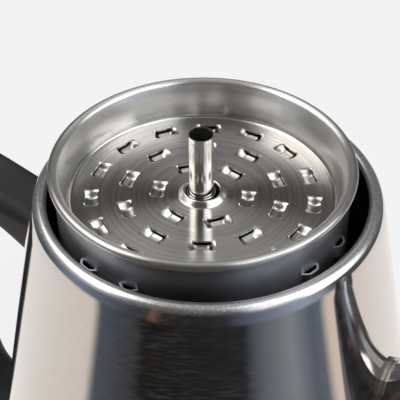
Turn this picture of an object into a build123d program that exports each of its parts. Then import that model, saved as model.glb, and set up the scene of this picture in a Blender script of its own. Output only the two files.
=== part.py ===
from build123d import *
import math
import os

# Stove-top coffee percolator with its lid set down behind it.
# Millimetres, +Z up, origin at the middle of the pot's underside, spout towards +X, handle towards -X.

# pot
rim_top = 170.0
sheet = 0.9
rim_bead_radius = 2.2
rim_bead_centre_radius = 48.2
wall_top_radius = 50.25
base_edge_fillet = 14.0

# heat spreading base
base_cap_radius = 61.0
base_height = 5.0
wall_points = [(79.0, base_height), (61.9, 106.0), (51.9, 160.5), (wall_top_radius, 167.3)]
base_sheet = 0.8

# spout, as inner edge point, outer edge point and half width of each section
spout_sheet = 1.0
spout_lip_height = 167.0
spout_sections = [
    ((50.0, 119.3), (62.0, 41.4), 17.5),
    ((62.0, 126.5), (78.0, 59.0), 15.5),
    ((72.0, 135.0), (90.0, 84.0), 12.5),
    ((79.0, 148.0), (95.0, 118.0), 9.8),
    ((83.5, 160.0), (97.5, 146.0), 8.2),
    ((87.0, 181.0), (102.0, 175.0), 7.5),
]
spout_sides = 32
weld_size = 1.1
strainer_hole_radius = 1.7
strainer_rows = 9
strainer_row_step = 6.5
strainer_lowest_row = 60.0
strainer_column_step = 5.0

# handle
handle_width = 20.0
handle_edge_fillet = 4.5
bracket_sheet = 1.2
bracket_half_width = 8.5
bracket_half_height = 8.0
tongue_thickness = 2.4
tongue_half_width = 5.5
tongue_length = 19.0
tongue_clearance = 0.1
upper_arm_slope = 17.0
upper_arm_height = 138.0
lower_arm_height = 40.0
screw_radius = 2.0
screw_head_radius = 3.6
screw_head_height = 1.8
screw_length = 9.0

# pump, standing loose and a little off the pot's axis
pump_x = -1.5
pump_y = -0.92
tube_radius = 3.5
tube_sheet = 0.3
tube_top = 189.1
tube_bottom = 27.0
tube_flare = 0.08
foot_radius = 29.0
foot_sheet = 0.8
foot_neck_radius = 6.0
foot_neck_top = 32.0
foot_shoulder_height = 20.0
foot_gap = 0.1
foot_notch_radius = 3.0
foot_notch_count = 6
valve_seat_height = 20.6
valve_seat_thickness = 1.0
valve_seat_hole = 2.4
valve_radius = 4.4
valve_thickness = 0.8
valve_gap = 0.1
stop_radius = 5.2
stop_height = 3.0
stop_top = 110.4

# basket
basket_radius = 41.8
basket_sheet = 0.6
basket_top = 177.1
basket_bottom = 111.5
basket_fillet = 4.0
basket_hole_radius = 0.9
basket_hole_rings = [(11.0, 12), (16.0, 18), (21.0, 24), (26.0, 30), (31.0, 36), (35.0, 40)]
basket_louvre_height = 165.0
basket_louvre_pair = (-19.6, -0.6)
basket_louvre_pair_count = 4
sleeve_radius = 4.08
sleeve_sheet = 0.28
sleeve_top = 169.2
sleeve_flange_radius = 6.5

# spreader, which lies loose in the basket
spreader_x = -1.12
spreader_y = -0.8
spreader_bead_centre_radius = 42.25
spreader_bead_radius = 1.25
spreader_bead_height = 178.4
spreader_sheet = 0.6
spreader_floor = 168.2
spreader_wall_top_radius = 40.6
spreader_wall_bottom_radius = 38.8
spreader_fillet = 1.6
collar_hole_radius = 4.78
collar_base_radius = 7.2
collar_top_radius = 6.0
collar_height = 1.5
louvre_rings = [(31.8, 15, 18.1), (22.4, 10, 8.6), (12.9, 6, 16.4)]
louvre_half_length = 3.8
louvre_flat_half_length = 2.4
louvre_half_width = 1.95
louvre_rise = 1.7
louvre_sheet = 0.55

# lid, set down on the table behind the pot
lid_distance = 134.0
lid_angle = 117.0
lid_sheet = 0.8
skirt_radius = 45.3
skirt_height = 10.0
lid_edge_radius = 50.0
lid_edge_bead_radius = 1.0
lid_shoulder_radius = 46.2
lid_shoulder_rise = 10.5
lid_crown_radius = 15.0
lid_crown_rise = 25.0
knob_hole_radius = 11.6
knob_neck_radius = 10.4
knob_wall = 2.2
knob_ring_radius = 14.5
knob_ring_height = 4.0
gasket_height = 1.0
knob_flange_height = 3.0
knob_bulb_radius = 14.8
knob_lug = 1.8


def export(shape, name):
    export_step(shape, "parts/" + name + ".step")


def turned(outline):
    """Solid of revolution about Z from a closed outline of (radius, height) edges."""
    return revolve(make_face(Plane.XZ * outline), axis=Axis.Z)


def ring(outer, inner, low, high):
    """Plain ring or, with no inner radius, a disc."""
    body = Pos(0, 0, (low + high) / 2) * Cylinder(outer, high - low)
    if inner > 0:
        body -= Pos(0, 0, (low + high) / 2) * Cylinder(inner, high - low + 2)
    return body


def on_pump_axis(shape):
    return Pos(pump_x, pump_y, 0) * shape


def on_lid_place(shape):
    angle = math.radians(lid_angle)
    return Pos(lid_distance * math.cos(angle), lid_distance * math.sin(angle), 0) * shape


def pot_form(growth):
    """The pot's outer form, filled solid and grown outwards by the given amount."""
    bottom = base_height - growth
    top = rim_top - rim_bead_radius
    points = [(radius + growth, height) for radius, height in wall_points]
    points[0] = (points[0][0], bottom)
    wall = ThreePointArc(*points[:3])
    shoulder = TangentArc(points[2], points[3], tangent=wall % 1)
    rest = Polyline(points[3], (points[3][0], top), (0, top), (0, bottom), points[0])
    half = make_face(wall + shoulder + rest)
    corner = half.vertices().sort_by(Axis.X)[-1]
    half = fillet(corner, base_edge_fillet + growth)
    return Rot(0, 0, 90) * revolve(Plane.XZ * half, axis=Axis.Z)


def pot_wall_radius(height):
    """Outer radius of the pot wall at a height, between the two nearest of its points."""
    for (low_radius, low), (high_radius, high) in zip(wall_points, wall_points[1:]):
        if height <= high:
            break
    return low_radius + (high_radius - low_radius) * (height - low) / (high - low)


def strainer_holes():
    """Staggered holes through the wall behind the spout."""
    holes = []
    for row in range(strainer_rows):
        height = strainer_lowest_row + row * strainer_row_step
        columns = 4 if row % 2 else 3
        if row in (0, strainer_rows - 1):
            columns = 1
        for column in range(columns):
            across = (column - (columns - 1) / 2) * strainer_column_step
            radius = pot_wall_radius(height)
            holes.append(Pos(radius, across, height) * Rot(0, 90, 0) * Cylinder(strainer_hole_radius, 12))
    return holes


def pot_body(outer):
    shell = outer - pot_form(-sheet)
    shell -= Pos(0, 0, rim_top) * Cylinder(wall_top_radius - sheet, 40)
    shell += Pos(0, 0, rim_top - rim_bead_radius) * Torus(rim_bead_centre_radius, rim_bead_radius)
    return shell - strainer_holes()


def base_core():
    return ring(base_cap_radius - base_sheet, 0, base_sheet, base_height)


def base_cap():
    cap = ring(base_cap_radius, 0, 0, base_height)
    cap = fillet(cap.faces().sort_by(Axis.Z)[0].edges(), 0.7)
    return cap - base_core()


def oval(place, half_length, half_width):
    """Oval section with many short sides, drawn in the given plane."""
    corners = []
    for number in range(spout_sides):
        angle = 2 * math.pi * (number + 0.5) / spout_sides
        corner = Vector(half_length * math.cos(angle), half_width * math.sin(angle), 0)
        corners.append(place.from_local_coords(corner))
    return make_face(Polyline(*corners, close=True))


def spout_form(growth):
    """Solid spout through its sections, grown by the given amount."""
    faces = []
    for inner, outer, half_width in spout_sections:
        start = Vector(inner[0], 0, inner[1])
        end = Vector(outer[0], 0, outer[1])
        half_length = (end - start).length / 2
        across = (end - start).normalized()
        place = Plane(origin=(start + end) / 2, x_dir=across, z_dir=across.cross(Vector(0, 1, 0)))
        faces.append(oval(place, half_length + growth, half_width + growth))
    return loft(faces)


def spout(outer_form):
    above_lip = Pos(90, 0, spout_lip_height + 20) * Box(80, 60, 40)
    tube = spout_form(0) - spout_form(-spout_sheet)
    return tube - above_lip - outer_form


def spout_weld(outer_form):
    """Weld bead round the root of the spout, lying on the wall and against the spout."""
    collar = pot_form(weld_size) - outer_form
    collar &= Pos(70, 0, 88) * Box(60, 60, 110)
    return (collar & spout_form(weld_size)) - spout_form(0)


def handle_outline():
    """Side view of the handle as (distance behind the axis, height)."""
    outer = Spline(
        (52.0, 144.0), (66.0, 146.4), (84.0, 151.8), (101.0, 151.0), (113.0, 139.0), (115.5, 115.0),
        (110.5, 82.0), (104.0, 52.0), (93.0, 36.5), (66.0, 31.0),
    )
    inner = Spline(
        (66.0, 46.5), (79.0, 46.0), (87.0, 50.0), (92.0, 65.0), (98.0, 94.0), (100.5, 116.0),
        (97.0, 132.0), (87.0, 138.5), (75.0, 136.5), (64.0, 130.0), (52.0, 122.0),
    )
    ends = Line((66.0, 31.0), (66.0, 46.5)) + Line((52.0, 122.0), (52.0, 144.0))
    return make_face(outer + inner + ends)


def tongue(height, slope, growth):
    """Flat steel tongue that carries an arm of the handle."""
    start = pot_wall_radius(height)
    bar = Pos(tongue_length / 2, 0, 0) * Box(
        tongue_length + 2 * growth, 2 * (tongue_half_width + growth), tongue_thickness + 2 * growth
    )
    return Pos(-start, 0, height) * Rot(0, 0, 180) * Rot(0, -slope, 0) * bar


def bracket(height, slope, outer_form):
    """Pressed saddle spot welded to the wall, with its tongue."""
    pad = pot_form(bracket_sheet) - outer_form
    window = Box(40, 2 * bracket_half_width, 2 * bracket_half_height)
    window = fillet(window.edges().filter_by(Axis.X), 3)
    pad &= Pos(-pot_wall_radius(height), 0, height) * window
    steel = (pad + tongue(height, slope, 0)) - outer_form
    return steel - [place * ring(screw_radius, 0, 0, 30) for place in screw_places()]


def screw_room():
    """Counterbore for a screw head and the hole for its shank."""
    bore = ring(screw_head_radius + 0.4, 0, -12, screw_head_height)
    return bore + ring(screw_radius, 0, screw_head_height - 1, screw_head_height + screw_length)


def screw():
    """Pan head screw, head down, with a cross recess."""
    head = ring(screw_head_radius, 0, 0, screw_head_height)
    head = fillet(head.faces().sort_by(Axis.Z)[0].edges(), 1.2)
    shank = ring(screw_radius, 0, screw_head_height, screw_head_height + screw_length)
    slot = Box(4.2, 1.0, 1.6) + Box(1.0, 4.2, 1.6)
    return head + shank - slot


def screw_places():
    """Where the underside of each screw head sits, a little inside the handle's underside."""
    upper = Pos(-67.0, 0, 131.6) * Rot(0, upper_arm_slope, 0)
    lower = Pos(-80.5, 0, 33.0)
    return [upper, lower]


def handle():
    side = Plane.XZ * mirror(handle_outline(), about=Plane.YZ)
    grip = extrude(side, handle_width / 2, both=True)
    long_edges = grip.faces().sort_by(Axis.Y)[0].edges() + grip.faces().sort_by(Axis.Y)[-1].edges()
    grip = fillet(long_edges, handle_edge_fillet)
    grip -= pot_form(bracket_sheet + 0.3)
    grip -= tongue(upper_arm_height, upper_arm_slope, tongue_clearance)
    grip -= tongue(lower_arm_height, 0, tongue_clearance)
    return grip - [place * screw_room() for place in screw_places()]


def pump_tube():
    """Thin tube, very slightly flared at its top."""
    bore = tube_radius - tube_sheet
    flare = turned(
        Polyline(
            (0, tube_top - 1.2), (tube_radius, tube_top - 1.2), (tube_radius + tube_flare, tube_top),
            (0, tube_top), (0, tube_top - 1.2),
        )
    )
    tube = ring(tube_radius, 0, tube_bottom, tube_top - 1.2) + flare
    tube -= ring(bore, 0, tube_bottom - 1, tube_top - 1)
    cone = Pos(0, 0, tube_top - 0.6) * Cone(bore, bore + tube_flare, 1.2)
    return on_pump_axis(tube - cone)


def pump_foot():
    """Bell that stands on the pot's floor, with notches in its rim and a neck round the tube."""
    floor = base_height + sheet + foot_gap
    neck = foot_neck_radius
    half = Polyline(
        (0, floor), (foot_radius, floor), (foot_radius, floor + 3), (neck + 6, foot_shoulder_height - 2),
        (neck, foot_shoulder_height + 1), (neck, foot_neck_top), (0, foot_neck_top), (0, floor),
    )
    inside = Polyline(
        (0, floor - 1), (foot_radius - foot_sheet, floor - 1), (foot_radius - foot_sheet, floor + 2.6),
        (neck + 5.6, foot_shoulder_height - 2.8), (neck - foot_sheet, foot_shoulder_height - 0.5),
        (neck - foot_sheet, tube_bottom), (0, tube_bottom), (0, floor - 1),
    )
    bell = turned(half) - turned(inside)
    bell -= ring(tube_radius, 0, tube_bottom - 1, foot_neck_top + 1)
    notch = Rot(0, 90, 0) * Cylinder(foot_notch_radius, 2 * foot_radius + 4)
    for number in range(foot_notch_count // 2):
        bell -= Pos(0, 0, floor) * Rot(0, 0, number * 360 / foot_notch_count) * notch
    return on_pump_axis(bell)


def valve_seat():
    low = valve_seat_height
    return on_pump_axis(ring(foot_neck_radius - foot_sheet, valve_seat_hole, low, low + valve_seat_thickness))


def valve_disc():
    low = valve_seat_height + valve_seat_thickness + valve_gap
    return on_pump_axis(ring(valve_radius, 0, low, low + valve_thickness))


def basket_stop():
    """Ring pressed on the tube, which carries the basket."""
    stop = ring(stop_radius, tube_radius, stop_top - stop_height, stop_top)
    return on_pump_axis(chamfer(stop.edges().group_by(Axis.Z)[0].sort_by(SortBy.RADIUS)[-1], 0.8))


def louvre_strip():
    """Lanced bridge standing off a sheet whose face is at Z = 0; length along Y."""
    end = louvre_half_length
    flat = louvre_flat_half_length
    under = louvre_rise - louvre_sheet
    over = make_face(
        Polyline((-end, 0), (-flat, louvre_rise), (flat, louvre_rise), (end, 0), (end, -spreader_sheet),
                 (-end, -spreader_sheet), (-end, 0))
    )
    low = -spreader_sheet - 1
    below = make_face(
        Polyline(
            (-end + 0.35, low), (-end + 0.35, -spreader_sheet), (-flat + 0.3, under), (flat - 0.3, under),
            (end - 0.35, -spreader_sheet), (end - 0.35, low), (-end + 0.35, low),
        )
    )
    over = fillet(over.vertices().group_by(Axis.Y)[-1], 0.9)
    below = fillet(below.vertices().group_by(Axis.Y)[-1], 0.5)
    return Rot(0, 0, 90) * Rot(90, 0, 0) * extrude(over - below, louvre_half_width, both=True)


def louvre_window(depth):
    """The opening that a louvre strip is lanced from."""
    return Box(2 * louvre_half_width, 2 * louvre_half_length, depth)


def basket_shell():
    wall = ring(basket_radius, 0, basket_bottom, basket_top)
    wall = fillet(wall.faces().sort_by(Axis.Z)[0].edges(), basket_fillet)
    hollow = ring(basket_radius - basket_sheet, 0, basket_bottom + basket_sheet, basket_top + 1)
    hollow = fillet(hollow.faces().sort_by(Axis.Z)[0].edges(), basket_fillet - basket_sheet)
    shell = wall - hollow
    shell -= ring(sleeve_radius, 0, basket_bottom - 1, basket_bottom + 2)
    holes = []
    for radius, count in basket_hole_rings:
        for number in range(count):
            holes.append(Rot(0, 0, number * 360 / count) * Pos(radius, 0, basket_bottom) * Cylinder(
                basket_hole_radius, 4))
    shell -= holes
    strips = []
    windows = []
    for number in range(basket_louvre_pair_count):
        for angle in basket_louvre_pair:
            turn = Rot(0, 0, angle + number * 360 / basket_louvre_pair_count)
            place = turn * Pos(basket_radius, 0, basket_louvre_height) * Rot(0, 90, 0)
            strips.append(place * louvre_strip())
            windows.append(place * louvre_window(4))
    return on_pump_axis(shell - windows + strips)


def basket_sleeve():
    """Guide tube through the basket, with a flange under the basket's floor."""
    sleeve = ring(sleeve_radius, 0, basket_bottom, sleeve_top)
    sleeve += ring(sleeve_flange_radius, 0, basket_bottom - 0.8, basket_bottom)
    return on_pump_axis(sleeve - ring(sleeve_radius - sleeve_sheet, 0, basket_bottom - 2, sleeve_top + 1))


def spreader():
    """Water spreader: rolled bead, dished wall, floor with louvres pressed down and a collar for the tube."""
    top = spreader_bead_height
    floor = spreader_floor
    under = floor - spreader_sheet
    r_top = spreader_wall_top_radius
    r_low = spreader_wall_bottom_radius
    cup = make_face(Polyline((0, under), (r_low, under), (r_top, top), (0, top), (0, under)))
    cup = fillet(cup.vertices().sort_by(Axis.X)[2], spreader_fillet)
    space = make_face(
        Polyline((0, floor), (r_low - spreader_sheet, floor), (r_top - spreader_sheet, top + 0.01),
                 (0, top + 0.01), (0, floor))
    )
    space = fillet(space.vertices().sort_by(Axis.X)[2], spreader_fillet - spreader_sheet)
    dish = revolve(Plane.XZ * cup, axis=Axis.Z) - revolve(Plane.XZ * space, axis=Axis.Z)
    link = ring(spreader_bead_centre_radius, r_top - spreader_sheet, top - 0.3, top + 0.3)
    dish += link + Pos(0, 0, top) * Torus(spreader_bead_centre_radius, spreader_bead_radius)
    mound = make_face(
        Polyline((collar_hole_radius, under), (collar_base_radius, under), (collar_base_radius, floor),
                 (collar_top_radius, floor + collar_height), (collar_hole_radius, floor + collar_height),
                 (collar_hole_radius, under))
    )
    mound = fillet(mound.vertices().group_by(Axis.Y)[-1], 0.45)
    dish -= ring(collar_hole_radius, 0, under - 1, floor + 3)
    dish += revolve(Plane.XZ * mound, axis=Axis.Z)
    strips = []
    windows = []
    for radius, count, phase in louvre_rings:
        for number in range(count):
            place = Rot(0, 0, phase + number * 360 / count) * Pos(radius, 0, under)
            strips.append(place * Rot(0, 180, 0) * louvre_strip())
            windows.append(place * louvre_window(3))
    return Pos(spreader_x, spreader_y, 0) * (dish - windows + strips)


def lid_skirt():
    """Band that drops inside the pot's rim, flared at its upper end to meet the lid."""
    band = Polyline(
        (skirt_radius - lid_sheet, 0), (skirt_radius, 0), (skirt_radius, skirt_height),
        (skirt_radius - lid_sheet, skirt_height), (skirt_radius - lid_sheet, 0),
    )
    return on_lid_place(turned(band))


def lid_form(drop):
    """The lid's outer form down to its edge, filled solid and shrunk by the given drop."""
    base = skirt_height
    shoulder = base + lid_shoulder_rise - drop
    crown = base + lid_crown_rise - drop
    dome = ThreePointArc(
        (lid_shoulder_radius - 2 - drop, shoulder),
        ((lid_shoulder_radius + lid_crown_radius) / 2, (shoulder + crown) / 2 + 3.0),
        (lid_crown_radius, crown),
    )
    outline = Polyline(
        (lid_crown_radius, crown), (0, crown), (0, base), (lid_shoulder_radius - drop, base),
        (lid_shoulder_radius - 2 - drop, shoulder),
    )
    half = make_face(dome + outline)
    corner = half.vertices().group_by(Axis.X)[-2].sort_by(Axis.Y)[-1]
    return revolve(Plane.XZ * fillet(corner, 4.0 - drop), axis=Axis.Z)


def lid_shell():
    """Domed lid with a flat rim, a rolled edge and a hole for the knob."""
    base = skirt_height
    flange = ring(lid_edge_radius, 0, base, base + lid_sheet)
    edge = Pos(0, 0, base + lid_edge_bead_radius) * Torus(lid_edge_radius, lid_edge_bead_radius)
    shell = lid_form(0) + flange + edge
    shell -= Pos(0, 0, -0.01) * lid_form(lid_sheet)
    shell -= ring(knob_hole_radius, 0, base, base + 60)
    return on_lid_place(shell)


def knob_ring():
    """Steel socket ring riveted in the lid's hole, with two gaps for the knob's lugs."""
    low = skirt_height + lid_crown_rise
    socket = ring(knob_ring_radius, knob_hole_radius, low, low + knob_ring_height)
    socket = fillet(socket.faces().sort_by(Axis.Z)[-1].edges().sort_by(SortBy.RADIUS)[-1], 1.2)
    socket += ring(knob_hole_radius, knob_hole_radius - 0.7, low - lid_sheet, low + knob_ring_height)
    for side in (0, 180):
        socket -= Rot(0, 0, side) * Pos(knob_hole_radius - 1, 0, low) * Box(3.0, 6.0, 12)
    return on_lid_place(socket)


def knob_gasket():
    low = skirt_height + lid_crown_rise + knob_ring_height
    return on_lid_place(ring(knob_ring_radius - 0.5, knob_neck_radius + 0.35, low, low + gasket_height))


def glass_knob():
    """Hollow blown glass top with a neck, a flange and two lugs that turn under the socket ring."""
    seat = skirt_height + lid_crown_rise + knob_ring_height + gasket_height
    neck_bottom = seat - gasket_height - knob_ring_height - 3.2
    bulb_start = seat + knob_flange_height
    round_start = bulb_start + 4.0
    inner_radius = knob_neck_radius - knob_wall
    inner_start = round_start + 3.0
    half = math.sqrt(0.5)
    outer = Polyline(
        (0, round_start + knob_bulb_radius), (0, neck_bottom), (knob_neck_radius, neck_bottom),
        (knob_neck_radius, seat), (knob_bulb_radius + 1.2, seat), (knob_bulb_radius + 1.2, bulb_start),
        (knob_bulb_radius - 1.2, bulb_start), (knob_bulb_radius, round_start),
    )
    outer += ThreePointArc(
        (knob_bulb_radius, round_start),
        (knob_bulb_radius * half, round_start + knob_bulb_radius * half),
        (0, round_start + knob_bulb_radius),
    )
    hollow = Polyline(
        (0, inner_start + inner_radius), (0, neck_bottom - 1), (inner_radius, neck_bottom - 1),
        (inner_radius, inner_start),
    )
    hollow += ThreePointArc(
        (inner_radius, inner_start),
        (inner_radius * half, inner_start + inner_radius * half),
        (0, inner_start + inner_radius),
    )
    knob = turned(outer) - turned(hollow)
    for side in (0, 180):
        lug = Pos(knob_neck_radius, 0, neck_bottom + 1.0) * Box(knob_lug, 4.4, 2.0)
        knob += Rot(0, 0, 90 + side) * lug
    return on_lid_place(knob)


def main():
    outer = pot_form(0)
    export(pot_body(outer), "pot_body")
    export(base_core(), "base_core_disc")
    export(base_cap(), "base_cap")
    export(spout(outer), "spout")
    export(spout_weld(outer), "spout_weld_seam")
    export(handle(), "handle")
    export(bracket(upper_arm_height, upper_arm_slope, outer), "upper_handle_bracket")
    export(bracket(lower_arm_height, 0, outer), "lower_handle_bracket")
    export(Compound(children=[place * screw() for place in screw_places()]), "handle_screws")
    export(pump_tube(), "pump_tube")
    export(pump_foot(), "pump_foot")
    export(valve_seat(), "valve_seat")
    export(valve_disc(), "valve_disc")
    export(basket_stop(), "basket_stop")
    export(basket_shell(), "basket_shell")
    export(basket_sleeve(), "basket_sleeve")
    export(spreader(), "spreader")
    export(lid_shell(), "lid_shell")
    export(lid_skirt(), "lid_skirt")
    export(knob_ring(), "knob_socket_ring")
    export(knob_gasket(), "knob_gasket")
    export(glass_knob(), "glass_knob")


main()
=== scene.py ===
import math

import bpy
from mathutils import Matrix


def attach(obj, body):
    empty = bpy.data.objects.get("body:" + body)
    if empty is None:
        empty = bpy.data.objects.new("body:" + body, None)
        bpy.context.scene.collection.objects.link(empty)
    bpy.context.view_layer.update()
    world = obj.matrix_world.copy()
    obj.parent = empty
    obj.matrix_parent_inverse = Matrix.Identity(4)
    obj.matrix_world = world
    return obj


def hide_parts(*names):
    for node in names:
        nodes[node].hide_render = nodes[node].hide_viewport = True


# coffee percolator with its lid set down behind it; metres, spout towards +X, handle towards -X

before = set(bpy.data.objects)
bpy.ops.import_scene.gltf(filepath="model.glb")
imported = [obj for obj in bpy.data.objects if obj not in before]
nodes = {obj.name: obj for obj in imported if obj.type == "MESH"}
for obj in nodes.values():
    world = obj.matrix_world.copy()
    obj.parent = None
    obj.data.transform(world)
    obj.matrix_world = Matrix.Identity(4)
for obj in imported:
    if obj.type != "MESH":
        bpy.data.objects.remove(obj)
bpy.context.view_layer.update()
pi = math.pi


# ---- shader helpers

class Wire:
    # a socket; sums, products and comparisons of wires add Math nodes
    def __init__(self, paint, socket):
        self.paint = paint
        self.socket = socket

    def maths(self, operation, *others):
        return self.paint.node("ShaderNodeMath", {"operation": operation}, dict(enumerate((self, *others))))

    def __add__(self, other):
        return self.maths("ADD", other)

    def __radd__(self, other):
        return self.maths("ADD", other)

    def __sub__(self, other):
        return self.maths("SUBTRACT", other)

    def __rsub__(self, other):
        return self.paint.node("ShaderNodeMath", {"operation": "SUBTRACT"}, {0: other, 1: self})

    def __mul__(self, other):
        return self.maths("MULTIPLY", other)

    def __rmul__(self, other):
        return self.maths("MULTIPLY", other)

    def __pow__(self, other):
        return self.maths("POWER", other)


class Paint:
    # a material or world being wired up
    def __init__(self, owner):
        owner.use_nodes = True
        self.tree = owner.node_tree
        self.tree.nodes.clear()

    def node(self, kind, settings=None, values=None, out=0):
        made = self.tree.nodes.new(kind)
        for key, value in (settings or {}).items():
            if key == "stops":
                ramp = made.color_ramp
                for place, colour in value[2:]:
                    ramp.elements.new(place)
                for element, (place, colour) in zip(ramp.elements, value):
                    element.position = place
                    element.color = (*colour, 1)
            else:
                setattr(made, key, value)
        for key, value in (values or {}).items():
            socket = made.inputs[key]
            if isinstance(value, Wire):
                self.tree.links.new(value.socket, socket)
            elif socket.type == "RGBA":
                socket.default_value = (*value, 1)
            else:
                socket.default_value = value
        if isinstance(out, tuple):
            return [Wire(self, made.outputs[name]) for name in out]
        return Wire(self, made.outputs[out]) if made.outputs else None

    def noise(self, vector, scale, detail=2.0, rough=0.5):
        return self.node("ShaderNodeTexNoise", {}, {
            "Vector": vector, "Scale": scale, "Detail": detail, "Roughness": rough})

    def blend(self, factor, first, second):
        return self.node("ShaderNodeMix", {"data_type": "RGBA"}, {0: factor, 6: first, 7: second}, out=2)

    def spread(self, value, low, high, outLow=0.0, outHigh=1.0):
        return self.node("ShaderNodeMapRange", {"interpolation_type": "SMOOTHSTEP"}, {
            0: value, 1: low, 2: high, 3: outLow, 4: outHigh})

    def ramp(self, value, stops):
        return self.node("ShaderNodeValToRGB", {"stops": stops}, {0: value})

    def pack(self, x, y, z):
        return self.node("ShaderNodeCombineXYZ", {}, {0: x, 1: y, 2: z})

    def split(self, vector):
        return self.node("ShaderNodeSeparateXYZ", {}, {0: vector}, out=("X", "Y", "Z"))

    def bump(self, height, strength, distance):
        return self.node("ShaderNodeBump", {}, {
            "Height": height, "Strength": strength, "Distance": distance})

    def finish(self, **values):
        named = {key.replace("_", " "): value for key, value in values.items()}
        surface = self.node("ShaderNodeBsdfPrincipled", {}, named)
        self.node("ShaderNodeOutputMaterial", {}, {"Surface": surface})


def placeIn(paint, shift=(0, 0, 0), turn=(0, 0, 0), stretch=(1, 1, 1)):
    # place on the piece, in metres, moved, turned and stretched
    spot = paint.node("ShaderNodeTexCoord", {}, {}, out="Object")
    return paint.node("ShaderNodeMapping", {}, {
        "Vector": spot, "Location": shift, "Rotation": turn, "Scale": stretch})


def roundPlace(paint, centre=(0, 0)):
    # angle round an upright axis, distance from it and height
    x, y, z = paint.split(placeIn(paint, (-centre[0], -centre[1], 0)))
    return y.maths("ARCTAN2", x), (x * x + y * y) ** 0.5, z


def newMaterial(name):
    material = bpy.data.materials.new(name)
    return material, Paint(material)


# ---- camera, light and floor

# azimuths count from the camera's side, in degrees, positive to its right
studio = {
    "spot": (0.12177, -0.23739, 0.38332), "azimuth": 27.62, "tilt": 50.80, "roll": -0.45, "lens": 108,
    "paper": 0.9, "floorColour": (0.93, 0.93, 0.93), "floorWhite": (0.915, 0.915, 0.92), "floorLift": 0.8,
    "tableEdge": 0.6,
    "panels": [  # azimuth from, to, height from, to, softness, colour
        (-146, -68, 35, 70, 4, (2.7, 2.65, 2.57)),
        (29, 66, 33, 77, 5, (1.75, 1.8, 1.85)),
        (58, 104, 14, 77, 5, (2.25, 2.3, 2.35)),
        (100, 158, 62, 76, 8, (0.8, 0.8, 0.8)),
    ],
    "backGlow": (148, 42.5, 70, 0.62),  # azimuth from, height from, to, radiance
    "backSoft": (8, 3, 6),  # softness of its sides, lower and upper edge
    "upperFrom": (10.0, 38.0), "zenithFrom": (44.0, 84.0), "zenith": (0.28, 0.275, 0.265),
    "horizon": [  # azimuth, colour at table height
        (-180, (0.12, 0.12, 0.12)), (-125, (0.075, 0.083, 0.096)), (-104, (0.09, 0.1, 0.115)),
        (-82, (0.24, 0.30, 0.39)), (-60, (0.13, 0.16, 0.21)), (-42, (0.06, 0.06, 0.072)),
        (-34, (0.05, 0.045, 0.045)), (-31, (0.20, 0.10, 0.075)), (-25, (0.035, 0.03, 0.028)),
        (-14, (0.024, 0.022, 0.02)), (8, (0.028, 0.028, 0.031)),
        (23, (0.13, 0.15, 0.20)), (52, (0.40, 0.46, 0.58)), (66, (0.35, 0.38, 0.45)),
        (75, (0.07, 0.07, 0.075)), (180, (0.12, 0.12, 0.12))],
    "upper": [  # azimuth, colour between the panels
        (-180, (0.075, 0.07, 0.067)), (-150, (0.09, 0.09, 0.09)), (-134, (0.75, 0.74, 0.72)),
        (-70, (0.80, 0.79, 0.77)), (-56, (0.2, 0.2, 0.2)), (-41, (0.06, 0.058, 0.055)),
        (0, (0.045, 0.043, 0.04)), (18, (0.06, 0.06, 0.065)), (25, (0.50, 0.54, 0.62)),
        (34, (0.9, 0.93, 0.97)), (100, (0.9, 0.92, 0.95)), (116, (0.3, 0.3, 0.3)),
        (150, (0.09, 0.09, 0.09)), (180, (0.075, 0.07, 0.067))],
    "table": [  # azimuth, colour of the table in reflections
        (-180, (1.0, 0.96, 0.92)), (-110, (1.0, 0.95, 0.90)), (-65, (0.89, 0.79, 0.71)),
        (-60, (0.094, 0.113, 0.144)), (-40, (0.055, 0.052, 0.058)), (-34, (0.016, 0.014, 0.012)),
        (18, (0.022, 0.022, 0.025)), (25, (0.113, 0.129, 0.153)), (44, (0.29, 0.32, 0.345)),
        (56, (0.13, 0.15, 0.20)), (62, (0.16, 0.18, 0.22)),
        (67, (0.90, 0.73, 0.61)), (100, (0.98, 0.9, 0.84)), (112, (1.0, 0.95, 0.92)),
        (180, (1.0, 0.95, 0.92))],
}


def aroundCamera(paint, vector):
    # azimuth from the camera's side and the turned direction's last part
    turned = paint.node("ShaderNodeMapping", {}, {
        "Vector": vector, "Rotation": (0, 0, math.radians(90 - studio["azimuth"]))})
    facing, side, up = paint.split(turned)
    return side.maths("ARCTAN2", facing) * (180 / pi), up


def azimuthRamp(paint, azimuth, stops):
    return paint.ramp(azimuth * (1 / 360) + 0.5, [(place / 360 + 0.5, colour) for place, colour in stops])


def makeCamera():
    data = bpy.data.cameras.new("camera")
    data.lens = studio["lens"]
    data.clip_start = 0.01
    camera = bpy.data.objects.new("camera", data)
    bpy.context.scene.collection.objects.link(camera)
    turn = Matrix.Rotation(math.radians(studio["azimuth"]), 4, "Z")
    turn = turn @ Matrix.Rotation(math.radians(studio["tilt"]), 4, "X")
    turn = turn @ Matrix.Rotation(math.radians(studio["roll"]), 4, "Z")
    camera.matrix_world = Matrix.Translation(studio["spot"]) @ turn
    bpy.context.scene.camera = camera


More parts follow.
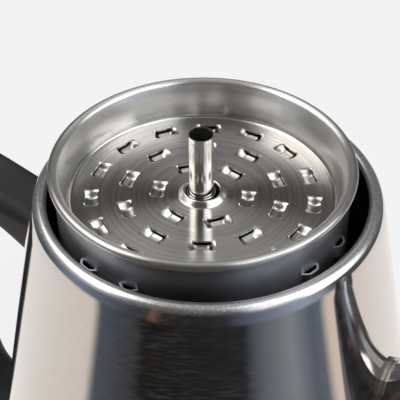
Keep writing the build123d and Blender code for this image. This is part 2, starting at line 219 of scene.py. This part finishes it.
def makeWorld():
    world = bpy.data.worlds.new("studio")
    bpy.context.scene.world = world
    paint = Paint(world)
    azimuth, up = aroundCamera(paint, paint.node("ShaderNodeTexCoord", {}, {}, out="Generated"))
    height = up.maths("ARCSINE") * (180 / pi)
    colour = paint.blend(
        paint.spread(height, *studio["upperFrom"]),
        azimuthRamp(paint, azimuth, studio["horizon"]), azimuthRamp(paint, azimuth, studio["upper"]))
    colour = paint.blend(paint.spread(height, *studio["zenithFrom"]), colour, studio["zenith"])
    start, low, high, glow = studio["backGlow"]
    softSide, softLow, softHigh = studio["backSoft"]
    behind = paint.spread(azimuth.maths("ABSOLUTE"), start - softSide, start + softSide)
    behind = behind * paint.spread(height, low - softLow, low + softLow)
    behind = behind * paint.spread(height, high + softHigh, high - softHigh)
    colour = paint.blend(behind, colour, (glow, glow, glow))
    for start, end, low, high, soft, light in studio["panels"]:
        inside = paint.spread(azimuth, start - soft, start + soft)
        inside = inside * paint.spread(azimuth, end + soft, end - soft)
        inside = inside * paint.spread(height, low - soft, low + soft)
        inside = inside * paint.spread(height, high + soft, high - soft)
        colour = paint.blend(inside, colour, light)
    rays = paint.node("ShaderNodeLightPath", {}, {}, out=("Is Camera Ray", "Is Transmission Ray"))
    white = studio["paper"]
    colour = paint.blend(rays[0].maths("MAXIMUM", rays[1]), colour, (white, white, white))
    back = paint.node("ShaderNodeBackground", {}, {"Color": colour})
    paint.node("ShaderNodeOutputWorld", {}, {"Surface": back})


def makeFloor():
    bpy.ops.object.select_all(action="DESELECT")
    bpy.ops.mesh.primitive_plane_add(size=12, location=(0, 0, 0))
    floor = bpy.context.object
    floor.name = "floor"
    material, paint = newMaterial("floorPaper")
    grain = paint.noise(placeIn(paint), 900.0, 3.0)
    paper = paint.node("ShaderNodeBsdfPrincipled", {}, {
        "Base Color": studio["floorColour"], "Roughness": 0.75, "Specular IOR Level": 0.2,
        "Normal": paint.bump(grain, 0.05, 0.0002)})
    azimuth = aroundCamera(paint, placeIn(paint))[0]
    away = roundPlace(paint)[1]
    edge = studio["tableEdge"]
    mirrored = paint.blend(
        paint.spread(away, edge * 0.85, edge * 1.15),
        azimuthRamp(paint, azimuth, studio["table"]), azimuthRamp(paint, azimuth, studio["horizon"]))
    glow = paint.node("ShaderNodeEmission", {}, {"Color": mirrored})
    camera, glossy = paint.node("ShaderNodeLightPath", {}, {}, out=("Is Camera Ray", "Is Glossy Ray"))
    white = paint.node("ShaderNodeEmission", {}, {"Color": studio["floorWhite"]})
    seen = paint.node("ShaderNodeMixShader", {}, {0: camera * studio["floorLift"], 1: paper, 2: white})
    either = paint.node("ShaderNodeMixShader", {}, {0: glossy, 1: seen, 2: glow})
    paint.node("ShaderNodeOutputMaterial", {}, {"Surface": either})
    floor.data.materials.append(material)


makeCamera()
makeWorld()
makeFloor()
print("studio ready")


# ---- finishes

pumpAxis = (-1.12, -0.8)  # the loose pump's middle in the pot, in millimetres


def mirrorSteel():
    material, paint = newMaterial("mirrorSteel")
    angle, away, z = roundPlace(paint)
    hair = paint.noise(paint.pack(angle * 8, z * 1900 + angle * 60, away * 300), 1.0, 3.0, 0.6)
    scratch = paint.noise(paint.pack(angle * 14, z * 2200, away * 300), 1.0, 2.0, 0.7)
    patch = paint.noise(placeIn(paint, (0.02, 0.01, 0.03)), 38.0, 3.0, 0.6)
    haze = paint.spread(scratch, 0.42, 0.72) * paint.spread(patch, 0.3, 0.65, 0.4, 1.0)
    cloud = paint.noise(placeIn(paint), 26.0, 3.0, 0.55)
    speck = paint.noise(placeIn(paint), 1500.0, 2.0, 0.6)
    worn = paint.spread(cloud, 0.5, 0.8)
    onRim = paint.spread(z, 0.1680, 0.1693) * paint.spread(away, 0.0525, 0.0515)
    paint.finish(
        Base_Color=paint.blend(cloud, (0.63, 0.62, 0.605), (0.655, 0.65, 0.65)),
        Metallic=1 - 0.3 * onRim * speck - 0.08 * haze,
        Roughness=0.05 + 0.06 * hair * cloud + 0.05 * worn + 0.3 * onRim * speck,
        Normal=paint.bump(hair + 2 * onRim * speck, 0.06, 0.0001))
    return material


def satinSteel():
    material, paint = newMaterial("satinSteel")
    angle, away, z = roundPlace(paint, tuple(side / 1000 for side in pumpAxis))
    groove = paint.noise(paint.pack(angle * 1.5, away * 3200, z * 3200), 1.0, 3.0, 0.7)
    rings = paint.noise(paint.pack(angle * 0.6, away * 1300, z * 1300), 1.0, 2.0, 0.6)
    cloud = paint.noise(placeIn(paint), 70.0, 3.0, 0.55)
    onTop = paint.spread(z, 0.1692, 0.1705)
    # the dish wall, whose steel colour below is painted lighter than the floor's
    wallPaintedLighter = onTop * paint.spread(away, 0.0426, 0.0420)
    onRim = paint.spread(z, 0.1775, 0.1782)
    # painted light: the dish wall gets a lighter copy of the steel colour and the floor and outer curl a
    # darker one, a painted highlight on the wall and painted shade on the floor of one and the same sheet;
    # the rings only vary the tone
    paint.finish(
        Base_Color=paint.blend(
            wallPaintedLighter, paint.blend(paint.spread(rings, 0.3, 0.7), (0.55, 0.535, 0.515), (0.66, 0.645, 0.62)),
            paint.blend(rings, (0.70, 0.685, 0.66), (0.80, 0.78, 0.75))),
        Metallic=1 - 0.1 * onTop - 0.07 * wallPaintedLighter,
        Roughness=0.13 + 0.05 * groove + 0.03 * cloud + 0.04 * rings + 0.05 * onRim,
        Anisotropic=0.94, Anisotropic_Rotation=0.25, Normal=paint.bump(groove, 0.12, 0.0001))
    return material


def brightSteel():
    material, paint = newMaterial("brightSteel")
    smear = paint.noise(placeIn(paint, stretch=(1, 1, 0.1)), 400.0, 2.0)
    paint.finish(
        Base_Color=paint.blend(smear, (0.86, 0.84, 0.80), (0.93, 0.91, 0.87)), Metallic=1.0,
        Roughness=0.13 + 0.06 * smear, Normal=paint.bump(smear, 0.01, 0.0001))
    return material


def basketSteel():
    material, paint = newMaterial("basketSteel")
    cloud = paint.noise(placeIn(paint), 60.0, 3.0)
    streak = paint.noise(placeIn(paint, stretch=(1, 1, 0.2)), 300.0, 2.0)
    paint.finish(
        Base_Color=paint.blend(cloud, (0.40, 0.41, 0.44), (0.48, 0.49, 0.52)), Metallic=1.0,
        Anisotropic=0.92, Anisotropic_Rotation=0.25, Roughness=0.25 + 0.08 * cloud + 0.05 * streak,
        Normal=paint.bump(cloud, 0.03, 0.0002))
    return material


def phenolic():
    material, paint = newMaterial("phenolic")
    grain = paint.noise(placeIn(paint), 2600.0, 2.0)
    cloud = paint.noise(placeIn(paint), 45.0, 3.0)
    paint.finish(
        Base_Color=paint.blend(cloud, (0.022, 0.022, 0.024), (0.034, 0.034, 0.037)),
        Roughness=0.42 + 0.14 * cloud, Normal=paint.bump(grain, 0.12, 0.0001))
    return material


def knobGlass():
    material, paint = newMaterial("knobGlass")
    wave = paint.noise(placeIn(paint), 60.0, 2.0)
    paint.finish(
        Base_Color=(0.97, 0.98, 0.98), Roughness=0.015 + 0.03 * wave, IOR=1.5, Transmission_Weight=1.0,
        Normal=paint.bump(wave, 0.05, 0.0003))
    return material


def cloudyFinish(name, colour, metallic, rough):
    # the smaller hardware: one colour a little uneven, with faint scuffs
    material, paint = newMaterial(name)
    cloud = paint.noise(placeIn(paint), 120.0, 3.0)
    scuff = paint.noise(placeIn(paint, stretch=(1, 1, 0.15)), 900.0, 2.0)
    dark = tuple(0.88 * part for part in colour)
    paint.finish(
        Base_Color=paint.blend(cloud, dark, colour), Metallic=metallic,
        Roughness=rough - 0.08 + 0.10 * cloud + 0.06 * scuff,
        Normal=paint.bump(cloud + scuff, 0.05, 0.0002))
    return material


finishes = {
    "mirror_steel": mirrorSteel(), "spreader_steel": satinSteel(), "basket_steel": basketSteel(),
    "tube_steel": brightSteel(), "weld_steel": cloudyFinish("weldSteel", (0.55, 0.51, 0.45), 1.0, 0.35),
    "plated_steel": cloudyFinish("platedSteel", (0.62, 0.62, 0.61), 1.0, 0.22),
    "aluminium_core": cloudyFinish("coreAluminium", (0.72, 0.73, 0.74), 1.0, 0.45),
    "black_phenolic": phenolic(), "knob_glass": knobGlass(),
    "silicone": cloudyFinish("silicone", (0.62, 0.61, 0.58), 0.0, 0.55),
}
for node in nodes.values():
    for place in node.material_slots:
        place.material = finishes[place.material.name.split(".")[0]]
print("finishes ready")


# ---- modelling helpers

def arc(centre, radius, start, end, steps):
    # points on a circle in (distance, height), angles in degrees from the outward side
    turns = [math.radians(start + (end - start) * step / steps) for step in range(steps + 1)]
    return [(centre[0] + radius * math.cos(turn), centre[1] + radius * math.sin(turn)) for turn in turns]


def arcThrough(first, middle, last, steps):
    # points on the arc through three places
    (ax, ay), (bx, by), (cx, cy) = first, middle, last
    area = 2 * (ax * (by - cy) + bx * (cy - ay) + cx * (ay - by))
    a, b, c = ax * ax + ay * ay, bx * bx + by * by, cx * cx + cy * cy
    x = (a * (by - cy) + b * (cy - ay) + c * (ay - by)) / area
    y = (a * (cx - bx) + b * (ax - cx) + c * (bx - ax)) / area
    start, end = (math.degrees(math.atan2(spot[1] - y, spot[0] - x)) for spot in (first, last))
    return arc((x, y), math.hypot(ax - x, ay - y), start, end, steps)


def arcOn(points, end, steps):
    # points that go on smoothly from a line of points to an end place
    (ax, ay), (bx, by) = points[-2:]
    along = math.atan2(by - ay, bx - ax)
    chord = math.atan2(end[1] - by, end[0] - bx)
    length = math.hypot(end[0] - bx, end[1] - by)
    bend = chord - along
    radius = length / (2 * math.sin(bend))
    centre = (bx - radius * math.sin(along), by + radius * math.cos(along))
    turns = [along + 2 * bend * step / steps for step in range(1, steps + 1)]
    return [(centre[0] + radius * math.sin(turn), centre[1] - radius * math.cos(turn)) for turn in turns]


def run(start, end, steps):
    # evenly spaced points from just after the start to just before the end
    return [(start[0] + (end[0] - start[0]) * step / steps, start[1] + (end[1] - start[1]) * step / steps)
            for step in range(1, steps)]


def startPiece():
    if bpy.context.object and bpy.context.object.mode == "EDIT":
        bpy.ops.object.mode_set(mode="OBJECT")
    bpy.ops.object.select_all(action="DESELECT")


def keep(piece, name, material):
    piece.name = name
    piece.data.name = name
    piece.data.materials.clear()
    piece.data.materials.append(material)
    return piece


def selectOnly(*pieces):
    startPiece()
    for piece in pieces:
        piece.select_set(True)
    bpy.context.view_layer.objects.active = pieces[0]


def applied(piece, kind, **settings):
    selectOnly(piece)
    modifier = piece.modifiers.new(kind.lower(), kind)
    for key, value in settings.items():
        setattr(modifier, key, value)
    bpy.ops.object.modifier_apply(modifier=modifier.name)


def turnedSkin(profile, centre, segments):
    # ring extruded and resized from point to point of a (distance, height) profile in millimetres
    startPiece()
    middle = (centre[0] / 1000, centre[1] / 1000)
    points = [(distance / 1000, height / 1000) for distance, height in profile]
    bpy.ops.mesh.primitive_circle_add(
        vertices=segments, radius=points[0][0], location=(*middle, points[0][1]))
    bpy.ops.object.transform_apply(location=True)
    bpy.ops.object.mode_set(mode="EDIT")
    bpy.ops.mesh.select_mode(type="VERT")
    bpy.ops.mesh.select_all(action="SELECT")
    for (before, low), (after, high) in zip(points, points[1:]):
        bpy.ops.mesh.extrude_region_move(TRANSFORM_OT_translate={"value": (0, 0, high - low)})
        bpy.ops.transform.resize(value=(after / before, after / before, 1), center_override=(*middle, high))
    bpy.ops.object.mode_set(mode="OBJECT")
    return bpy.context.object


def smoothed(piece, angle):
    selectOnly(piece)
    bpy.ops.object.shade_smooth_by_angle(angle=math.radians(angle))


def pick(piece, part, test):
    # leaves the piece in edit mode with only the corners, edges or faces that pass the test selected
    selectOnly(piece)
    bpy.ops.object.mode_set(mode="EDIT")
    bpy.ops.mesh.select_mode(type={"vertices": "VERT", "edges": "EDGE", "polygons": "FACE"}[part])
    bpy.ops.mesh.select_all(action="DESELECT")
    bpy.ops.object.mode_set(mode="OBJECT")
    for item in getattr(piece.data, part):
        item.select = test(item)
    bpy.ops.object.mode_set(mode="EDIT")


def faceOut(piece):
    # all faces of an open skin made to point the same way, outwards
    selectOnly(piece)
    bpy.ops.object.mode_set(mode="EDIT")
    bpy.ops.mesh.select_all(action="SELECT")
    bpy.ops.mesh.normals_make_consistent(inside=False)
    bpy.ops.object.mode_set(mode="OBJECT")


def pressed(move, reach):
    # moves the selected faces, and the sheet round them with them in a smooth slope
    bpy.ops.transform.translate(
        value=move, use_proportional_edit=True, use_proportional_connected=True,
        proportional_edit_falloff="SMOOTH", proportional_size=reach)


def copiesRound(first, rings, centre):
    # copies of a piece round a centre: distance, count and first angle of each ring; the first one goes
    copies = []
    for distance, count, phase in rings:
        for number in range(count):
            turn = math.radians(phase + number * 360 / count)
            other = first.copy()
            other.data = first.data.copy()
            bpy.context.scene.collection.objects.link(other)
            other.rotation_euler = (0, 0, turn)
            other.location = (
                centre[0] / 1000 + distance / 1000 * math.cos(turn),
                centre[1] / 1000 + distance / 1000 * math.sin(turn), 0)
            copies.append(other)
    bpy.data.objects.remove(first)
    selectOnly(*copies)
    bpy.ops.object.transform_apply(location=True, rotation=True)
    bpy.ops.object.join()
    return bpy.context.object


# ---- pot wall: one drawn shell with a rolled rim, and strainer holes behind the spout

potWall = {  # millimetres and degrees
    "segments": 256, "sheet": 0.9, "floor": 5.0, "base": (62.54, 19.0, 14.0),
    "foot": (76.33, 21.24), "middle": (61.9, 106.0), "neck": (51.3, 163.7), "shoulder": (50.35, 167.3),
    "rimRolls": [(4.55, 50, 8), (2.8, 90, 10), (1.4, 250, 18)],  # radius, angle it rolls to, steps
    "innerRing": 2.0, "baseEnd": 368.5, "smooth": 35,
    "holeRadius": 1.7, "holeRow": 6.5, "holeColumn": 5.0, "lowestHole": 60.0, "holeRows": 9,
    "pegSides": 24, "pegLength": 12.0,
}


def potProfile():
    x, z, r = potWall["base"]
    start = (potWall["innerRing"], potWall["floor"])
    points = [start] + run(start, (x, potWall["floor"]), 6) + arc((x, z), r, 270, potWall["baseEnd"], 12)
    wall = arcThrough(potWall["foot"], potWall["middle"], potWall["neck"], 24)
    points = points[:-1] + wall
    points += arcOn(points, potWall["shoulder"], 6)
    (ax, az), (bx, bz) = points[-2:]
    lean = math.degrees(math.atan2(ax - bx, bz - az))
    for radius, end, steps in potWall["rimRolls"]:
        bx, bz = points[-1]
        turn = math.radians(lean)
        centre = (bx - radius * math.cos(turn), bz - radius * math.sin(turn))
        points += arc(centre, radius, lean, end, steps)[1:]
        lean = end
    return points


def wallRadius(height):
    # outer radius of the straight part of the wall
    (lowR, low), (highR, high) = potWall["foot"], potWall["middle"]
    return lowR + (highR - lowR) * (height - low) / (high - low)


def makePotWall():
    shell = turnedSkin(potProfile(), (0, 0), potWall["segments"])
    ring = 1.25 * potWall["innerRing"] / 1000
    pick(shell, "vertices", lambda corner: math.hypot(corner.co.x, corner.co.y) < ring)
    bpy.ops.mesh.edge_face_add()
    bpy.ops.mesh.poke()
    bpy.ops.object.mode_set(mode="OBJECT")
    faceOut(shell)
    applied(shell, "SOLIDIFY", thickness=potWall["sheet"] / 1000, offset=-1, use_even_offset=True)
    pegs = []
    for row in range(potWall["holeRows"]):
        height = potWall["lowestHole"] + row * potWall["holeRow"]
        count = 1 if row in (0, potWall["holeRows"] - 1) else 4 if row % 2 else 3
        for column in range(count):
            across = (column - (count - 1) / 2) * potWall["holeColumn"]
            startPiece()
            bpy.ops.mesh.primitive_cylinder_add(
                vertices=potWall["pegSides"], radius=potWall["holeRadius"] / 1000,
                depth=potWall["pegLength"] / 1000, rotation=(0, pi / 2, 0),
                location=(wallRadius(height) / 1000, across / 1000, height / 1000))
            pegs.append(bpy.context.object)
    selectOnly(*pegs)
    bpy.ops.object.join()
    bpy.ops.object.transform_apply(location=True, rotation=True)
    cutter = bpy.context.object
    applied(shell, "BOOLEAN", object=cutter, operation="DIFFERENCE", solver="EXACT")
    bpy.data.objects.remove(cutter)
    piece = keep(shell, "potWall", finishes["mirror_steel"])
    smoothed(piece, potWall["smooth"])
    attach(piece, "pot")
    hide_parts("pot_body")


makePotWall()
print("pot wall ready")


# ---- coffee basket: deep cup with louvres in its wall and holes in its floor

basket = {  # millimetres and degrees
    "segments": 384, "sheet": 0.6, "radius": 41.8, "bottom": 111.5, "top": 177.1,
    "corner": 4.0, "sleeve": 4.08,
    "louvreHeight": 165.0, "louvreHalfWidth": 1.95, "louvreHalfSlit": 3.2, "louvreHalfFlat": 1.2,
    "louvreRun": 2.4, "louvreRise": 1.7, "louvrePair": (-19.6, -0.6), "pairs": 4, "smooth": 40,
    "holeRadius": 0.9, "holeSides": 12, "holeDepth": 4.0,
    "holeRings": [  # distance, count, first angle
        (11, 12, 0), (16, 18, 0), (21, 24, 0), (26, 30, 0), (31, 36, 0), (35, 40, 0)],
}


def basketProfile():
    radius, bottom, corner = basket["radius"], basket["bottom"], basket["corner"]
    low = basket["louvreHeight"] - basket["louvreHalfWidth"]
    high = basket["louvreHeight"] + basket["louvreHalfWidth"]
    points = [(basket["sleeve"], bottom)] + run((basket["sleeve"], bottom), (radius - corner, bottom), 8)
    points += arc((radius - corner, bottom + corner), corner, 270, 360, 8)
    points += run((radius, bottom + corner), (radius, low), 8) + [(radius, low)]
    points += run((radius, low), (radius, high), 6) + [(radius, high)]
    return points + run((radius, high), (radius, basket["top"]), 4) + [(radius, basket["top"])]


def raiseLouvre(shell, angle):
    # slits along both long sides, then the strip between them pressed outwards
    middleX, middleY = (side / 1000 for side in pumpAxis)
    level, halfWidth = basket["louvreHeight"] / 1000, basket["louvreHalfWidth"] / 1000
    outX, outY = math.cos(math.radians(angle)), math.sin(math.radians(angle))

    def along(spot):
        # distance round the wall from the louvre's middle, in millimetres
        x, y = spot.x - middleX, spot.y - middleY
        return abs(math.atan2(y * outX - x * outY, x * outX + y * outY)) * basket["radius"]

    places = [corner.co.copy() for corner in shell.data.vertices]

    def onSlit(edge):
        first, last = (places[number] for number in edge.vertices)
        offSide = max(abs(abs(end.z - level) - halfWidth) for end in (first, last))
        return offSide < halfWidth / 40 and along((first + last) / 2) < basket["louvreHalfSlit"]

    pick(shell, "edges", onSlit)
    bpy.ops.mesh.edge_split(type="EDGE")
    pick(shell, "polygons", lambda face: abs(face.center.z - level) > halfWidth)
    bpy.ops.mesh.hide()
    pick(shell, "polygons", lambda face: not face.hide and along(face.center) < basket["louvreHalfFlat"])
    rise = basket["louvreRise"] / 1000
    pressed((rise * outX, rise * outY, 0), basket["louvreRun"] / 1000)
    bpy.ops.mesh.reveal(select=False)
    bpy.ops.object.mode_set(mode="OBJECT")


def makeBasket():
    shell = turnedSkin(basketProfile(), pumpAxis, basket["segments"])
    faceOut(shell)
    for number in range(basket["pairs"]):
        for angle in basket["louvrePair"]:
            raiseLouvre(shell, angle + number * 360 / basket["pairs"])
    applied(shell, "SOLIDIFY", thickness=basket["sheet"] / 1000, offset=-1)
    startPiece()
    bpy.ops.mesh.primitive_cylinder_add(
        vertices=basket["holeSides"], radius=basket["holeRadius"] / 1000, depth=basket["holeDepth"] / 1000,
        location=(0, 0, basket["bottom"] / 1000))
    bpy.ops.object.transform_apply(location=True)
    cutters = copiesRound(bpy.context.object, basket["holeRings"], pumpAxis)
    applied(shell, "BOOLEAN", object=cutters, operation="DIFFERENCE", solver="EXACT")
    bpy.data.objects.remove(cutters)
    piece = keep(shell, "basketCup", finishes["basket_steel"])
    smoothed(piece, basket["smooth"])
    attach(piece, "basket")
    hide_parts("basket_shell")


makeBasket()
print("basket ready")


# ---- water spreader: curled rim, dished wall, floor with pressed louvres, collar for the tube

spreader = {  # millimetres and degrees
    "segments": 192, "floor": 168.2, "sheet": 0.55, "smooth": 40,
    "collarHole": 4.78, "collarDrop": 0.5, "collarTop": (5.35, 169.25, 0.5), "collarFoot": (7.3, 0.9),
    "wallFoot": (37.1, 1.1), "wallMiddle": (38.95, 174.2), "wallTop": (40.45, 178.55),
    "lip": (42.22, 177.61, 2.04), "curl": (42.25, 178.4, 1.25),
    "louvreRings": [(31.8, 15, 18.1), (22.4, 10, 8.6), (12.9, 6, 16.4)],  # distance, count, first angle
    "louvreHalfWidth": 1.95, "louvreHalfSlit": 2.7, "louvreHalfFlat": 1.4,
    "louvreRun": 2.0, "louvreDepth": 1.3, "louvreHollow": 0.45,
    "patch": (4.8, 7.6), "patchCells": (16, 26), "patchCut": 6.0,
}


def spreaderProfile():
    floor = spreader["floor"]
    x, z, r = spreader["collarTop"]
    points = [(spreader["collarHole"], floor - spreader["collarDrop"])] + arc((x, z), r, 180, 45, 6)
    footX, footR = spreader["collarFoot"]
    points += arc((footX, floor + footR), footR, 225, 270, 4)
    cornerX, cornerR = spreader["wallFoot"]
    points += run(points[-1], (cornerX, floor), 6)
    points += arc((cornerX, floor + cornerR), cornerR, 270, 350, 6)
    points += arcThrough(points[-1], spreader["wallMiddle"], spreader["wallTop"], 8)[1:]
    points += arc(spreader["lip"][:2], spreader["lip"][2], 148, 90, 7)
    points += arc(spreader["curl"][:2], spreader["curl"][2], 90, -120, 14)
    return points


def louvrePatch():
    # one louvre in its piece of floor, its long sides along Y
    wide, long = (side / 1000 for side in spreader["patch"])
    across, along = spreader["patchCells"]
    startPiece()
    bpy.ops.mesh.primitive_grid_add(
        x_subdivisions=across, y_subdivisions=along, size=1, location=(0, 0, spreader["floor"] / 1000))
    patch = bpy.context.object
    patch.scale = (wide, long, 1)
    bpy.ops.object.transform_apply(location=True, scale=True)
    halfWidth = spreader["louvreHalfWidth"] / 1000
    column = wide / across
    slit = round(halfWidth / column) * column
    places = [corner.co.copy() for corner in patch.data.vertices]

    def onSlit(edge):
        ends = [places[number] for number in edge.vertices]
        inLine = all(abs(abs(end.x) - slit) < column / 4 for end in ends)
        return inLine and abs(ends[0].y + ends[1].y) / 2 < spreader["louvreHalfSlit"] / 1000

    pick(patch, "edges", onSlit)
    bpy.ops.mesh.edge_split(type="EDGE")
    pick(patch, "polygons", lambda face: abs(face.center.x) > slit)
    bpy.ops.mesh.hide()
    flat = spreader["louvreHalfFlat"] / 1000
    pick(patch, "polygons", lambda face: not face.hide and abs(face.center.y) < flat)
    pressed((0, 0, -spreader["louvreDepth"] / 1000), spreader["louvreRun"] / 1000)

    def onMiddle(face):
        return not face.hide and abs(face.center.x) < column and abs(face.center.y) < 2 * flat

    pick(patch, "polygons", onMiddle)
    pressed((0, 0, -spreader["louvreHollow"] / 1000), halfWidth)
    bpy.ops.mesh.reveal(select=False)
    bpy.ops.object.mode_set(mode="OBJECT")
    applied(patch, "SOLIDIFY", thickness=spreader["sheet"] / 1000, offset=-1)
    return patch


def makeSpreader():
    skin = turnedSkin(spreaderProfile(), pumpAxis, spreader["segments"])
    faceOut(skin)
    applied(skin, "SOLIDIFY", thickness=spreader["sheet"] / 1000, offset=-1, use_even_offset=True)
    startPiece()
    bpy.ops.mesh.primitive_cube_add(size=1, location=(0, 0, spreader["floor"] / 1000))
    cutter = bpy.context.object
    cutter.scale = [side / 1000 for side in (*spreader["patch"], spreader["patchCut"])]
    bpy.ops.object.transform_apply(location=True, scale=True)
    cutters = copiesRound(cutter, spreader["louvreRings"], pumpAxis)
    applied(skin, "BOOLEAN", object=cutters, operation="DIFFERENCE", solver="EXACT")
    bpy.data.objects.remove(cutters)
    patches = copiesRound(louvrePatch(), spreader["louvreRings"], pumpAxis)
    selectOnly(skin, patches)
    bpy.ops.object.join()
    piece = keep(bpy.context.object, "waterSpreader", finishes["spreader_steel"])
    smoothed(piece, spreader["smooth"])
    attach(piece, "spreader")
    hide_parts("spreader")


makeSpreader()
print("spreader ready")

bpy.context.scene.view_settings.view_transform = "Standard"
